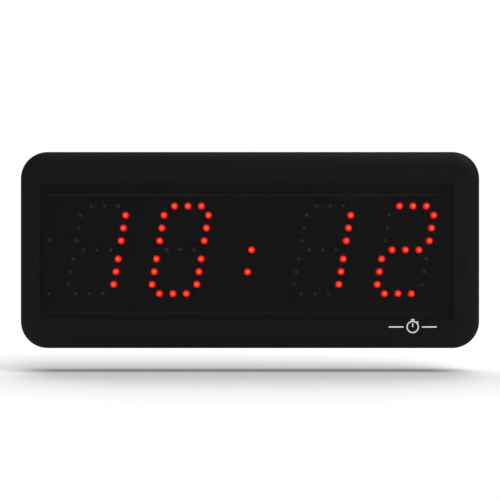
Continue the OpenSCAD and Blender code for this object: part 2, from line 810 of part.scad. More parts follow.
link_z = 22;
link_x = [-16, 18];

module link_connectors() color([0.9, 0.88, 0.82]) {
    for (x = link_x)
        block([x - 3, inner_board_front_y - 7, link_z - 5.5], [x + 3, inner_board_front_y, link_z + 5.5]);
}

module link_cable() color([0.55, 0.56, 0.58]) {
    translate([0, 0, link_z - 4]) linear_extrude(height = 8)
        polygon(concat(
            [for (i = [0:20]) link_point(i / 20, 0.5)],
            [for (i = [20:-1:0]) link_point(i / 20, -0.5)]));
}

// A low arch between the two connectors
function link_point(t, side) =
    [link_x[0] + 3 + (link_x[1] - link_x[0] - 6) * t,
     inner_board_front_y - 5 - 3 * sin(180 * t) + side];

lead_header_z = -36;
lead_y = inner_board_front_y - 3;
button_lead_x = button_x[0] + 3;

module lead_connectors() color([0.9, 0.88, 0.82]) {
    for (x = [button_lead_x, sounder_at[0]])
        block([x - 4.5, inner_board_front_y - 6, lead_header_z - 3],
              [x + 4.5, inner_board_front_y, lead_header_z + 3]);
    block([button_lead_x - 4.5, button_y - 3, button_board_z + board_t],
          [button_lead_x + 4.5, button_y + 3, button_board_z + board_t + 5]);
}

// Parallel wires from a header down to whatever stands on the floor
module lead(x, wires, low_z, low_y) {
    for (k = [0:wires - 1])
        translate([x + (k - (wires - 1) / 2) * 2 - 0.6, 0, 0]) rotate([90, 0, 90])
            linear_extrude(height = 1.2)
                rotate(90) eased_band([low_z, -low_y], [lead_header_z - 3, -lead_y], 1.2);
}

module button_lead() color([0.7, 0.1, 0.1])
    lead(button_lead_x, 3, button_board_z + board_t + 5, button_y);

module sounder_lead() color([0.7, 0.1, 0.1])
    lead(sounder_at[0], 2, floor_z + seal_t + sounder_h, sounder_at[1]);

// ---------- nodes ----------

front_cover();
front_mark();
mask_frame();
display_board();
remote_receiver();
lamp_solder_joints();
display_driver_chips();
display_board_screws();
rear_housing();
case_screws();
rating_plate();
wall_bumpers();
cable_grommet();
wall_bracket();
for (n = [1:4]) {
    digit_lit_lamps(n);
    digit_unlit_lamps(n);
}
colon_lamps();
indicator_lamps();
power_board();
power_module();
mains_terminal_block();
signal_terminal_block();
terminal_screws();
fuse();
fuse_clips();
capacitors();
control_board();
control_chips();
crystal();
cell_holder();
backup_cell();
sounder();
sounder_seal();
button_board();
switch_bodies();
board_screws();
start_button_cap();
set_button_cap();
start_switch_plunger();
set_switch_plunger();
start_switch_spring();
set_switch_spring();
ribbon_cable();
ribbon_connectors();
link_cable();
link_connectors();
button_lead();
sounder_lead();
lead_connectors();
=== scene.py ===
"""Looks of a wall-mounted four-digit lamp timer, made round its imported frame.

The frame has the front of the case towards -Y, +Z up and the wall at y = 0, in metres.
"""
import json
import math

import bpy
import numpy as np
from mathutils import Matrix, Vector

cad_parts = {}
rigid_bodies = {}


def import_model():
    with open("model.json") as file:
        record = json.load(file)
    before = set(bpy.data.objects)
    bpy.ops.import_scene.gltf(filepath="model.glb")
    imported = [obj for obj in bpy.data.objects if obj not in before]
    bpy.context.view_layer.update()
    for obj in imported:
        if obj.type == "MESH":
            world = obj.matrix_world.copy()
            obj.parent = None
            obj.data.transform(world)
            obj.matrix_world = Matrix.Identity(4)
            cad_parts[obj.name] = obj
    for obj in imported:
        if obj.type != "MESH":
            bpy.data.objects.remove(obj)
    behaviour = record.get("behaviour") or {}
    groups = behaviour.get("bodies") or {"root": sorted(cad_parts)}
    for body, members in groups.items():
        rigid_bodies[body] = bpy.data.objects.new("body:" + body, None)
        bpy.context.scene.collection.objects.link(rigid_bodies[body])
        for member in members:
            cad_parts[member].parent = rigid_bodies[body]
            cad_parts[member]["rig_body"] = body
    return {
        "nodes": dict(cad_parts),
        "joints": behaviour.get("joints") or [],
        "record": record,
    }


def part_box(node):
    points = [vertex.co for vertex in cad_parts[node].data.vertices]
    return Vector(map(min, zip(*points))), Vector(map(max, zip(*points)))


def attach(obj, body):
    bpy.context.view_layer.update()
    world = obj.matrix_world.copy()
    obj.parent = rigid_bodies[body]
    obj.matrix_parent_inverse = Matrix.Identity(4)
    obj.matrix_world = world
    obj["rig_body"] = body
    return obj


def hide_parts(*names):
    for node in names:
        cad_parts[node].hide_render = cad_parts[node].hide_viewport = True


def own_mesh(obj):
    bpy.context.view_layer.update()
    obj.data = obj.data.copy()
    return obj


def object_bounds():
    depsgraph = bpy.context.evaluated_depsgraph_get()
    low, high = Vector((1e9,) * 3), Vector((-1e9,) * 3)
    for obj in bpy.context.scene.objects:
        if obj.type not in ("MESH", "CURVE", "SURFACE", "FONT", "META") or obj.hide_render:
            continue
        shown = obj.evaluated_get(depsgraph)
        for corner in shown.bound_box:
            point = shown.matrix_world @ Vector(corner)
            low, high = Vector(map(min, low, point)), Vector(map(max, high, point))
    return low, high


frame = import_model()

bl_info = {
    "name": "Lamp timer",
    "version": (1, 0, 0),
    "blender": (4, 5, 0),
    "location": "View3D > Sidebar > Timer",
    "description": "Builds the pieces, finishes and studio of a wall-mounted lamp timer",
    "category": "Add Mesh",
}

CAD_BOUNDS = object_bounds()
MM = 0.001
FRONT = (0.0, -1.0, 0.0)
UP = (0.0, 0.0, 1.0)
BACK = (0.0, 1.0, 0.0)
POLE = 0.2 * MM                       # radius of the flat in the middle of a turned end
SAME_PLACE = 1e-6                     # points closer than this are one
STEEPEST_FLAT = math.radians(0.5)     # faces that turn less than this are one flat
SHARP_EDGE = math.radians(40)         # edges that turn more than this are rounded
WHITE_BACKDROP = 1.02                 # just past white
SLOT_OF = {part["node"]: part["material_slot"] for part in frame["record"]["subparts"]}


# ---------- surfaces ----------

def grid_quads(rows, columns, ring_loop):
    """Vertex numbers of the quads between neighbours on a grid. Columns always close round."""
    row = np.arange(rows if ring_loop else rows - 1)[:, None]
    column = np.arange(columns)[None, :]
    next_row, next_column = (row + 1) % rows, (column + 1) % columns
    corners = [row * columns + column, row * columns + next_column,
               next_row * columns + next_column, next_row * columns + column]
    return np.stack([np.broadcast_to(c, (len(row), columns)) for c in corners], -1).reshape(-1, 4)


def shell_mesh(name, shells):
    """One mesh from closed shells, each given as (points[copy, row, column, xyz], ring_loop).

    Rows are rings of points. They join into a loop, or else the first and last ring are filled.
    Columns that turn left-handed about the direction of the rows give faces that point outwards.
    """
    vertices, faces, start = [], [], 0
    for points, ring_loop in shells:
        copies, rows, columns, _ = points.shape
        offsets = start + np.arange(copies)[:, None, None] * rows * columns
        quads = grid_quads(rows, columns, ring_loop)[None] + offsets
        faces += quads.reshape(-1, 4).tolist()
        if not ring_loop:
            first, last = np.arange(columns)[::-1], (rows - 1) * columns + np.arange(columns)
            faces += (np.stack([first, last])[None] + offsets).reshape(-1, columns).tolist()
        vertices.append(points.reshape(-1, 3))
        start += copies * rows * columns
    mesh = bpy.data.meshes.new(name)
    mesh.from_pydata(np.concatenate(vertices), [], faces)
    mesh.polygons.foreach_set("use_smooth", np.ones(len(faces), bool))
    mesh.update()
    return mesh


def add_piece(name, shells, slot, replaced, body=None):
    """An object made of shells that stands for CAD nodes and rides on their body."""
    piece = bpy.data.objects.new(name, shell_mesh(name, shells))
    bpy.context.scene.collection.objects.link(piece)
    piece.data.materials.append(finish(slot))
    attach(piece, body or frame["nodes"][replaced[0]]["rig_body"])
    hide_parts(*replaced)
    return piece


def softened(corners, radius, steps=4):
    """A polyline whose inner corners P are rounded by quadratic curves.

    Each curve is (1-t)^2 S + 2t(1-t) P + t^2 E, where S and E lie on the two sides, a radius from P
    or half a side if that is less.
    """
    p = np.asarray(corners, float)
    back, ahead = p[:-2] - p[1:-1], p[2:] - p[1:-1]
    back_length = np.linalg.norm(back, axis=1, keepdims=True)
    ahead_length = np.linalg.norm(ahead, axis=1, keepdims=True)
    s = p[1:-1] + back / back_length * np.minimum(radius, back_length / 2)
    e = p[1:-1] + ahead / ahead_length * np.minimum(radius, ahead_length / 2)
    t = np.linspace(0, 1, steps + 1)[None, :, None]
    curves = (1 - t) ** 2 * s[:, None] + 2 * t * (1 - t) * p[1:-1, None] + t ** 2 * e[:, None]
    return np.concatenate([p[:1], curves.reshape(-1, 2), p[-1:]])


def turned(profile, centres, axis, segments=32):
    """Points of a profile (r, h) turned about an axis k through each centre c.

    The surface is c + r cos(a) u + r sin(a) v + h k, with u along X and v = k x u.
    """
    k = np.asarray(axis, float)
    u = np.array([1.0, 0.0, 0.0])
    v = np.cross(k, u)
    angle = np.arange(segments) * 2 * math.pi / segments
    spoke = np.cos(angle)[:, None] * u + np.sin(angle)[:, None] * v
    profile = np.asarray(profile, float)
    ring = profile[:, 0, None, None] * spoke[None] + profile[:, 1, None, None] * k
    return np.atleast_2d(centres)[:, None, None, :] + ring[None]


def swept(path, across, half_across, half_thick, sides=12):
    """Points of an elliptical tube along a path: p + a cos(s) w + b sin(s) n.

    w is the fixed direction across the path and n is square to w and to the path's tangent.
    """
    path, w = np.asarray(path, float), np.asarray(across, float)
    tangent = np.gradient(path, axis=0)
    n = np.cross(tangent, w)
    n /= np.linalg.norm(n, axis=1, keepdims=True)
    s = -np.arange(sides) * 2 * math.pi / sides
    return (path[:, None] + half_across * np.cos(s)[None, :, None] * w
            + half_thick * np.sin(s)[None, :, None] * n[:, None])


def rounded_ring(half_w, half_h, radius, inset, y, corner_steps=14):
    """A rounded rectangle drawn inset from its outline, in the plane y.

    Each point is c + (R - inset)(cos a, sin a), with c the centre of the corner that a belongs to.
    """
    angle = np.radians(np.linspace(0, 90, corner_steps)[None] + np.arange(4)[:, None] * 90).ravel()
    side_x = np.repeat([1, -1, -1, 1], corner_steps) * (half_w - radius)
    side_z = np.repeat([1, 1, -1, -1], corner_steps) * (half_h - radius)
    reach = radius - inset
    return np.stack([side_x + reach * np.cos(angle), np.full(angle.shape, y),
                     side_z + reach * np.sin(angle)], -1)


def box_of(node):
    """A CAD node's low and high corner, as arrays."""
    low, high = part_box(node)
    return np.array(low), np.array(high)


def foremost_points(node):
    """The places on a CAD node that reach furthest forwards, one for each separate solid."""
    mesh = frame["nodes"][node].data
    points = np.empty(len(mesh.vertices) * 3)
    mesh.vertices.foreach_get("co", points)
    points = points.reshape(-1, 3)
    tips = points[points[:, 1] < points[:, 1].min() + SAME_PLACE]
    grid = 0.01 * MM
    return np.unique(np.round(tips / grid).astype(int), axis=0) * grid


# ---------- shader tools ----------

class Wire:
    """A node's output socket. Arithmetic with it adds Math nodes."""

    def __init__(self, finish_tree, socket):
        self.tree, self.socket = finish_tree, socket

    def __add__(self, other):
        return self.tree.math("ADD", self, other)

    def __mul__(self, other):
        return self.tree.math("MULTIPLY", self, other)

    def __sub__(self, other):
        return self.tree.math("SUBTRACT", self, other)

    def __rsub__(self, other):
        return self.tree.math("SUBTRACT", other, self)

    def __truediv__(self, other):
        return self.tree.math("DIVIDE", self, other)

    def __rtruediv__(self, other):
        return self.tree.math("DIVIDE", other, self)

    def __pow__(self, other):
        return self.tree.math("POWER", self, other)

    def __gt__(self, other):
        return self.tree.math("GREATER_THAN", self, other)

    def __lt__(self, other):
        return self.tree.math("LESS_THAN", self, other)

    __radd__ = __add__
    __rmul__ = __mul__


class FinishTree:
    """A material's nodes round one Principled shader."""

    def __init__(self, name):
        self.material = bpy.data.materials.new(name)
        self.material.use_nodes = True
        self.nodes = self.material.node_tree.nodes
        self.links = self.material.node_tree.links
        self.nodes.clear()
        self.shader = self.nodes.new("ShaderNodeBsdfPrincipled")
        output = self.nodes.new("ShaderNodeOutputMaterial")
        self.links.new(self.shader.outputs[0], output.inputs[0])

    def node(self, kind, settings=None, inputs=None, output=0):
        """Any node: settings first, then its sockets' values or links, by name or number."""
        made = self.nodes.new("ShaderNode" + kind)
        for key, value in (settings or {}).items():
            if key == "stops":
                self.fill_ramp(made.color_ramp, value)
            else:
                setattr(made, key, value)
        for key, value in (inputs or {}).items():
            self.feed(made.inputs[key], value)
        return Wire(self, made.outputs[output])

    def feed(self, socket, value):
        if isinstance(value, Wire):
            self.links.new(value.socket, socket)
        else:
            socket.default_value = value

    @staticmethod
    def fill_ramp(ramp, stops):
        while len(ramp.elements) < len(stops):
            ramp.elements.new(0.5)
        for element, (place, colour) in zip(ramp.elements, stops):
            element.position = place
            element.color = (*colour, 1.0) if len(colour) == 3 else colour

    def math(self, operation, a, b=0.0):
        return self.node("Math", {"operation": operation}, {0: a, 1: b})

    def limited(self, value):
        """The value held between 0 and 1."""
        return self.node("Clamp", None, {0: value})

    def mix(self, factor, a, b):
        """A colour between a and b."""
        colour_a, colour_b, colour_result = 6, 7, 2
        return self.node("Mix", {"data_type": "RGBA"},
                         {0: factor, colour_a: rgba(a), colour_b: rgba(b)}, colour_result)

    def ramp(self, value, *stops):
        """A colour ramp over (place, colour) stops."""
        return self.node("ValToRGB", {"stops": stops}, {0: value})

    def place(self, scale=(1.0, 1.0, 1.0), turn=(0.0, 0.0, 0.0)):
        """Object coordinates, scaled and turned."""
        start = self.node("TexCoord", output="Object")
        return self.node("Mapping", None, {"Vector": start, "Scale": scale, "Rotation": turn})

    def axis(self, name):
        """One coordinate of a place, in metres."""
        return self.node("SeparateXYZ", None, {0: self.node("TexCoord", output="Object")}, name)

    def off_centre(self, name, centre):
        """How far a place lies from the centre along one axis, to either side."""
        return self.math("ABSOLUTE", self.axis(name) - float(centre))

    def noise(self, scale, detail=2.0, rough=0.5, vector=None):
        """Cloudy noise from 0 to 1, with this many features to a metre."""
        inputs = {"Vector": vector or self.place(), "Scale": scale, "Detail": detail,
                  "Roughness": rough}
        return self.node("TexNoise", None, inputs)

    def cells(self, scale, feature="F1", vector=None):
        """Distance to scattered points, or to the borders of their cells."""
        return self.node("TexVoronoi", {"feature": feature},
                         {"Vector": vector or self.place(), "Scale": scale})

    def bump(self, height, depth):
        """A normal for a relief of that height times that depth, in metres."""
        return self.node("Bump", None, {"Height": height, "Distance": depth, "Strength": 1.0})

    def set(self, **sockets):
        """Values or links of the shader's sockets, with underscores for spaces."""
        for key, value in sockets.items():
            self.feed(self.shader.inputs[key.replace("_", " ")], rgba(value))
        return self.material


def rgba(value):
    """A colour of three numbers gets an alpha. Anything else is left as it is."""
    return (*value, 1.0) if isinstance(value, (tuple, list)) and len(value) == 3 else value


def colour(setting):
    return tuple(setting)


def settings():
    return bpy.context.scene.lamp_timer


# ---------- finishes ----------

# Pale colour of a painted highlight along the mask's edge.
HIGHLIGHT_PALE = (0.2, 0.2, 0.2)


def painted_highlight_edge(t):
    """1 on the mask's last edge in front of the lamp board, where a pale line is painted as a
    highlight.
    """
    board_front = float(box_of("display_board")[0][1])
    band = 0.9 * MM
    y = t.axis("Y")
    return (y > board_front - band) * (y < board_front)


def moulded(name, tone, roughness=0.5, grain=0.02 * MM, specular=0.4, dust=0.02, highlight_mask=None):
    """Moulded plastic: a spark-eroded grain, faint flow clouds and a trace of dust in the grain.

    The last argument is a function that gives 1 where a pale line is painted as a highlight.
    """
    t = FinishTree(name)
    clouds = t.noise(18.0, 3.0, 0.55)
    pits = t.cells(1500.0)
    fine = t.noise(2600.0, 3.0, 0.6)
    worn = t.limited((t.noise(60.0, 4.0, 0.6) - 0.52) * 4.0)
    light = tuple(min(1.0, c * 1.25 + dust) for c in tone)
    shade = t.mix(t.limited((clouds - 0.35) * 1.6), tuple(c * 0.9 for c in tone), tone)
    shade = t.mix(worn * 0.35, shade, light)
    if highlight_mask:
        # Painted highlight: a pale line where the mask's edge would catch the light.
        shade = t.mix(highlight_mask(t), shade, HIGHLIGHT_PALE)
    height = pits * 0.4 + fine * 0.3 + t.noise(430.0, 2.0, 0.5) * 1.2
    return t.set(Base_Color=shade,
                 Roughness=t.limited(roughness - 0.06 + clouds * 0.12 - worn * 0.05),
                 Normal=t.bump(height, grain), Specular_IOR_Level=specular)


def inset_of(t, node, radius):
    """How far a place lies inside the rounded outline of a node, seen from the front.

    With q = |p| - (half size - radius), it is radius - |max(q, 0)| - min(max(qx, qz), 0).
    """
    low, high = box_of(node)
    centre, half = (low + high) / 2, (high - low) / 2
    qx = t.off_centre("X", centre[0]) - float(half[0] - radius)
    qz = t.off_centre("Z", centre[2]) - float(half[2] - radius)
    out_x, out_z = t.math("MAXIMUM", qx, 0.0), t.math("MAXIMUM", qz, 0.0)
    outside = (out_x * out_x + out_z * out_z) ** 0.5
    return radius - outside - t.math("MINIMUM", t.math("MAXIMUM", qx, qz), 0.0)


def window_of(t, cover):
    """1 inside the clear window of the cover and 0 on its dark border, with a soft step."""
    x = t.off_centre("X", cover.window_centre[0])
    z = t.off_centre("Z", cover.window_centre[1])
    inside_x = t.limited((cover.window_width / 2 - x) / cover.window_fade)
    inside_z = t.limited((cover.window_height / 2 - z) / cover.window_fade)
    return inside_x * inside_z


def smoked_cover():
    """Dark see-through acrylic with an anti-glare face, a deep-dyed border and a little dust."""
    cover = settings().cover
    t = FinishTree("Smoked_Acrylic")
    inset = inset_of(t, "front_cover", cover.corner_radius)
    thick = t.limited(1 - (inset - cover.wall) / (cover.roll_run - cover.wall))
    border = t.limited(1 - window_of(t, cover) + thick)
    clouds = t.noise(9.0, 2.0, 0.5)
    etch = t.noise(3200.0, 2.0, 0.6)
    smear = t.limited((t.noise(26.0, 3.0, 0.5, t.place((1.0, 1.0, 2.5))) - 0.5) * 2.0)
    dust = t.limited((0.07 - t.cells(150.0)) * 40.0) * t.limited((t.noise(31.0) - 0.56) * 9.0)
    face = t.mix(smear * 0.3, colour(cover.tint), colour(cover.tint_high))
    tone = t.mix(border, face, colour(cover.border_tint))
    return t.set(Base_Color=t.mix(dust * 0.5, tone, (0.09, 0.09, 0.09)),
                 Roughness=t.limited(cover.roughness + (clouds - 0.5) * 0.08 - smear * 0.04),
                 Normal=t.bump(etch, 0.004 * MM),
                 Alpha=cover.opacity + border * (cover.border_opacity - cover.opacity)
                 + thick * (1.0 - cover.border_opacity),
                 Specular_IOR_Level=cover.gloss)


def print_white():
    """Pad-printed ink, a little thin in places."""
    t = FinishTree("Pad_Print_White")
    thin = t.limited((t.noise(900.0, 3.0, 0.6) - 0.45) * 2.5)
    white = colour(settings().cover.print_colour)
    return t.set(Base_Color=t.mix(thin * 0.15, white, (0.55, 0.55, 0.55)),
                 Roughness=0.5 + thin * 0.1, Normal=t.bump(t.noise(2400.0), 0.008 * MM),
                 Specular_IOR_Level=0.3)


def drop_of(t, node):
    """How far behind the tips of a node's lamps a place lies, as a share of a lens's radius."""
    return (t.axis("Y") - float(box_of(node)[0][1])) / (settings().lamps.lens_diameter / 2)


def lamp_lit():
    """A lit lens: orange at its tip, red round it, and little light from its skirt."""
    lamps = settings().lamps
    t = FinishTree("Lamp_Lit")
    drop = drop_of(t, "colon_lamps")
    skirt = tuple(c * 0.05 for c in lamps.lit_skirt)
    tone = t.ramp(drop, (0.0, colour(lamps.lit_tip)), (0.05, colour(lamps.lit_tip)),
                  (0.2, colour(lamps.lit_skirt)), (0.66, colour(lamps.lit_skirt)), (0.95, skirt))
    cloud = t.noise(900.0, 1.0)
    return t.set(Base_Color=t.mix(cloud, (0.05, 0.002, 0.001), (0.08, 0.003, 0.002)),
                 Roughness=0.45 + cloud * 0.1, Emission_Color=tone,
                 Emission_Strength=lamps.brightness, Specular_IOR_Level=0.1)


def lamp_unlit():
    """A clear lens, dark at its skirt, with a pale tip that is a painted highlight of its dome."""
    lamps = settings().lamps
    t = FinishTree("Lamp_Unlit")
    drop = drop_of(t, "indicator_lamps")
    # Painted highlight: the tip of the dome is made pale in place of its glint.
    painted_glint = t.limited(1.3 - drop * 7.0)
    cloud = t.noise(1200.0, 2.0)
    clear = colour(lamps.unlit_skirt)
    return t.set(Base_Color=t.mix(t.limited(painted_glint + (cloud - 0.5) * 0.2), clear, colour(lamps.unlit)),
                 Roughness=0.45 + cloud * 0.15, Normal=t.bump(cloud, 0.01 * MM),
                 Specular_IOR_Level=0.15)


def circuit_board(name, mask_colour):
    """Solder mask over copper tracks, which show as slightly raised and lighter lanes."""
    t = FinishTree(name)
    flat = t.place((1.0, 0.0, 1.0))
    lanes = t.cells(260.0, "DISTANCE_TO_EDGE", flat)
    stripes = t.node("TexWave", {"bands_direction": "X"},
                     {"Vector": flat, "Scale": 140.0, "Distortion": 6.0, "Detail": 0.0})
    track = t.limited(t.limited((0.12 - lanes) * 12.0) + t.limited((stripes - 0.7) * 6.0) * 0.6)
    via = t.limited((0.16 - t.cells(420.0, "F1", flat)) * 14.0)
    copper = tuple(min(1.0, c * 1.6 + 0.004) for c in mask_colour)
    tone = t.mix(track, mask_colour, copper)
    tone = t.mix(via * 0.5, tone, tuple(c * 0.4 for c in mask_colour))
    return t.set(Base_Color=tone,
                 Roughness=0.32 + track * 0.08, Normal=t.bump(track - via, 0.012 * MM),
                 Specular_IOR_Level=0.4)


def metal(name, tone, roughness=0.3, streak=(1.0, 1.0, 1.0), cloudy=0.08):
    """Plated or drawn metal: cloudy plating, drawn streaks and fine scratches."""
    t = FinishTree(name)
    cloud = t.noise(70.0, 4.0, 0.6)
    drawn = t.noise(900.0, 3.0, 0.6, t.place(streak))
    scratch = t.limited((t.noise(420.0, 2.0, 0.7, t.place((1.0, 1.0, 9.0), (0.0, 0.5, 0.3)))
                         - 0.63) * 9.0)
    dull = tuple(c * 0.78 for c in tone)
    return t.set(Base_Color=t.mix(t.limited((cloud - 0.4) * 2.2), dull, tone), Metallic=1.0,
                 Roughness=t.limited(roughness + (cloud - 0.5) * cloudy * 2.0
                                     + (drawn - 0.5) * 0.12 + scratch * 0.15),
                 Normal=t.bump(drawn - scratch * 0.6, 0.006 * MM))


def zinc_steel():
    """Cold-rolled sheet with bright zinc: rolling lines along X and a patchy grey-blue bloom."""
    t = FinishTree("Zinc_Steel")
    rolled = t.noise(700.0, 3.0, 0.6, t.place((0.06, 1.0, 1.0)))
    bloom = t.noise(34.0, 4.0, 0.62)
    spangle = t.cells(210.0)
    zinc, blue = colour(settings().case.zinc), colour(settings().case.zinc_bloom)
    tone = t.mix(t.limited((bloom - 0.38) * 2.4), blue, zinc)
    tone = t.mix(spangle * 0.25, tone, tuple(c * 0.8 for c in zinc))
    return t.set(Base_Color=tone, Metallic=1.0,
                 Roughness=t.limited(0.3 + bloom * 0.24 + (rolled - 0.5) * 0.15),
                 Normal=t.bump(rolled + spangle * 0.3, 0.012 * MM))


def rating_foil():
    """A silver foil plate with a printed border and blank fields, and rub marks from wiping."""
    t = FinishTree("Rating_Foil")
    low, high = box_of("rating_plate")
    centre, half = (low + high) / 2, (high - low) / 2
    half_w, half_h = float(half[0]), float(half[2])
    margin, line_width = 1.2 * MM, 0.15 * MM
    x, z = t.off_centre("X", centre[0]), t.off_centre("Z", centre[2])
    edge = t.math("MINIMUM", half_w - x, half_h - z)
    border = (edge > margin) * (edge < margin + 0.4 * MM)
    upright = t.math("ABSOLUTE", x - half_w / 3) < line_width
    level = (z < line_width) * (x > half_w / 3)
    line = t.limited(border + t.limited(upright + level) * (edge > margin))
    grain = t.noise(1200.0, 3.0, 0.6, t.place((0.05, 1.0, 1.0)))
    foil = t.mix(grain, (0.5, 0.5, 0.51), (0.62, 0.62, 0.63))
    return t.set(Base_Color=t.mix(line, foil, (0.05, 0.05, 0.05)), Metallic=0.6 - line * 0.6,
                 Roughness=0.35 + grain * 0.15, Normal=t.bump(grain, 0.004 * MM))


def rubber():
    """Matt rubber with a dusty bloom."""
    t = FinishTree("Black_Rubber")
    bloom = t.noise(240.0, 4.0, 0.65)
    dust = t.limited((bloom - 0.45) * 2.5)
    return t.set(Base_Color=t.mix(dust, (0.012, 0.012, 0.012), (0.035, 0.034, 0.033)),
                 Roughness=0.72 + dust * 0.16, Normal=t.bump(t.noise(1800.0, 3.0), 0.03 * MM),
                 Specular_IOR_Level=0.25)


def fuse_glass():
    """A glass fuse: clear tube between nickel caps."""
    t = FinishTree("Fuse_Glass")
    low, high = box_of("fuse")
    centre, half, cap_length = (low[0] + high[0]) / 2, float((high[0] - low[0]) / 2), 5.5 * MM
    cap = t.off_centre("X", centre) > half - cap_length
    cloud = t.noise(900.0, 2.0)
    return t.set(Base_Color=t.mix(cap, (0.7, 0.75, 0.75), (0.62, 0.61, 0.58)), Metallic=cap,
                 Roughness=0.08 + cloud * 0.1 + cap * 0.15, Alpha=0.35 + cap * 0.65)


def sleeve():
    """Capacitor sleeves: printed film with a pale stripe down one side."""
    t = FinishTree("Capacitor_Sleeve")
    cloud = t.noise(400.0, 3.0)
    stripe = t.node("TexWave", {"bands_direction": "Z"},
                    {"Vector": t.place(), "Scale": 55.0, "Distortion": 0.0, "Detail": 0.0})
    pale = t.limited((stripe - 0.88) * 20.0)
    return t.set(Base_Color=t.mix(pale, t.mix(cloud, (0.02, 0.025, 0.09), (0.03, 0.035, 0.12)),
                                  (0.4, 0.4, 0.42)),
                 Roughness=0.3 + cloud * 0.1, Normal=t.bump(cloud, 0.01 * MM))


def wire_skin(name, tone):
    """Drawn PVC insulation, slightly mottled."""
    t = FinishTree(name)
    mottle = t.noise(650.0, 3.0)
    dark = tuple(c * 0.75 for c in tone)
    return t.set(Base_Color=t.mix(mottle, dark, tone), Roughness=0.4 + mottle * 0.12,
                 Normal=t.bump(t.noise(1500.0), 0.01 * MM))


FINISHES = {
    "smoked_cover": smoked_cover,
    "print_white": print_white,
    "black_abs": lambda: moulded("Black_ABS", colour(settings().case.housing), 0.52),
    # The mask carries a painted highlight along its last edge.
    "black_mask": lambda: moulded("Black_Mask", colour(settings().case.mask), 0.62, 0.006 * MM,
                                  specular=0.1, dust=0.0, highlight_mask=painted_highlight_edge),
    "black_button": lambda: moulded("Button_Black", colour(settings().case.button), 0.42,
                                    grain=0.012 * MM),
    "board_black": lambda: circuit_board("Board_Black", (0.004, 0.0045, 0.0045)),
    "board_green": lambda: circuit_board("Board_Green", (0.006, 0.085, 0.03)),
    "lamp_lit": lamp_lit,
    "lamp_unlit": lamp_unlit,
    "solder": lambda: metal("Solder", (0.74, 0.75, 0.76), 0.22),
    "chip_black": lambda: moulded("Chip_Epoxy", (0.018, 0.018, 0.019), 0.6, grain=0.015 * MM),
    "screw_black": lambda: metal("Black_Oxide", (0.045, 0.045, 0.048), 0.4),
    "screw_zinc": lambda: metal("Screw_Zinc", (0.62, 0.63, 0.65), 0.25),
    "bracket_steel": zinc_steel,
    "plate_silver": rating_foil,
    "rubber_black": rubber,
    "terminal_green": lambda: moulded("Terminal_Green", (0.03, 0.2, 0.07), 0.45),
    "fuse_glass": fuse_glass,
    "can_sleeve": sleeve,
    "cell_steel": lambda: metal("Bright_Steel", (0.68, 0.68, 0.69), 0.2),
    "plug_white": lambda: moulded("Plug_Nylon", (0.62, 0.58, 0.48), 0.45),
    "plunger_red": lambda: moulded("Plunger_Red", (0.5, 0.02, 0.015), 0.4),
    "wire_grey": lambda: wire_skin("Ribbon_Grey", (0.3, 0.31, 0.33)),
    "wire_red": lambda: wire_skin("Lead_Red", (0.45, 0.02, 0.02)),
}
made_finishes = {}


def finish(slot):
    """The material of a record slot, made the first time it is asked for."""
    if slot not in made_finishes:
        made_finishes[slot] = FINISHES[slot]()
    return made_finishes[slot]


def dress(node, edge=None):
    """A CAD node gets its finish and, if asked, softened edges of that width."""
    piece = frame["nodes"][node]
    piece.material_slots[0].material = finish(SLOT_OF[node])
    if edge:
        weld = piece.modifiers.new("Weld", "WELD")
        weld.merge_threshold = SAME_PLACE
        flat = piece.modifiers.new("Flat faces", "DECIMATE")
        flat.decimate_type = "DISSOLVE"
        flat.angle_limit = STEEPEST_FLAT
        bevel = piece.modifiers.new("Soft edges", "BEVEL")
        bevel.width = edge
        bevel.segments = 2
        bevel.limit_method = "ANGLE"
        bevel.angle_limit = SHARP_EDGE
        bevel.harden_normals = True
    return piece


# ---------- settings ----------

def length(name, description, default):
    return bpy.props.FloatProperty(name=name, description=description, default=default,
                                   min=0.0, unit="LENGTH", precision=5)


def tone(name, description, default):
    return bpy.props.FloatVectorProperty(name=name, description=description, default=default,
                                         size=3, min=0.0, max=1.0, subtype="COLOR")


def share(name, description, default):
    return bpy.props.FloatProperty(name=name, description=description, default=default,
                                   min=0.0, max=1.0, subtype="FACTOR")


def angle(name, description, degrees):
    return bpy.props.FloatProperty(name=name, description=description,
                                   default=math.radians(degrees), subtype="ANGLE")


def amount(name, description, default):
    return bpy.props.FloatProperty(name=name, description=description, default=default, min=0.0)


class CoverSettings(bpy.types.PropertyGroup):
    corner_radius: length("Corner radius", "Radius of the cover's corners, seen from the front",
                          20 * MM)
    roll_run: length("Roll width", "Width of the band where the face rolls over", 12 * MM)
    roll_drop: length("Roll depth", "Depth of that band", 5 * MM)
    face: length("Face", "Thickness of the face", 3 * MM)
    wall: length("Wall", "Thickness of the skirt", 2.5 * MM)
    boss_diameter: length("Boss", "Diameter of the screw bosses inside", 8 * MM)
    boss_inset: length("Boss inset", "Distance of the bosses from the sides", 11.5 * MM)
    pilot_diameter: length("Pilot hole", "Diameter of the hole in a boss", 2.6 * MM)
    tint: tone("Tint", "Colour of the smoked acrylic", (0.0068, 0.0068, 0.0069))
    tint_high: tone("Hazy tint", "Colour where the face is hazy", (0.0085, 0.0085, 0.0087))
    border_tint: tone("Border tint", "Colour of the border and the rolled edge",
                      (0.0078, 0.0078, 0.0079))
    opacity: share("Opacity", "How much one surface of the acrylic hides", 0.45)
    border_opacity: share("Border opacity", "How much the border hides", 0.93)
    window_width: length("Window width", "Width of the clear window", 308 * MM)
    window_height: length("Window height", "Height of the clear window", 102 * MM)
    window_fade: length("Window fade", "Width of the step at the window's edge", 1.1 * MM)
    window_centre: bpy.props.FloatVectorProperty(
        name="Window centre", description="Middle of the window, across and up", size=2,
        default=(-2.5 * MM, -1.2 * MM), subtype="TRANSLATION", precision=5)
    roughness: share("Roughness", "Roughness of the anti-glare face", 0.45)
    gloss: share("Gloss", "Specular level of the face", 0.08)
    print_colour: tone("Print", "Colour of the printed sign", (0.85, 0.85, 0.85))


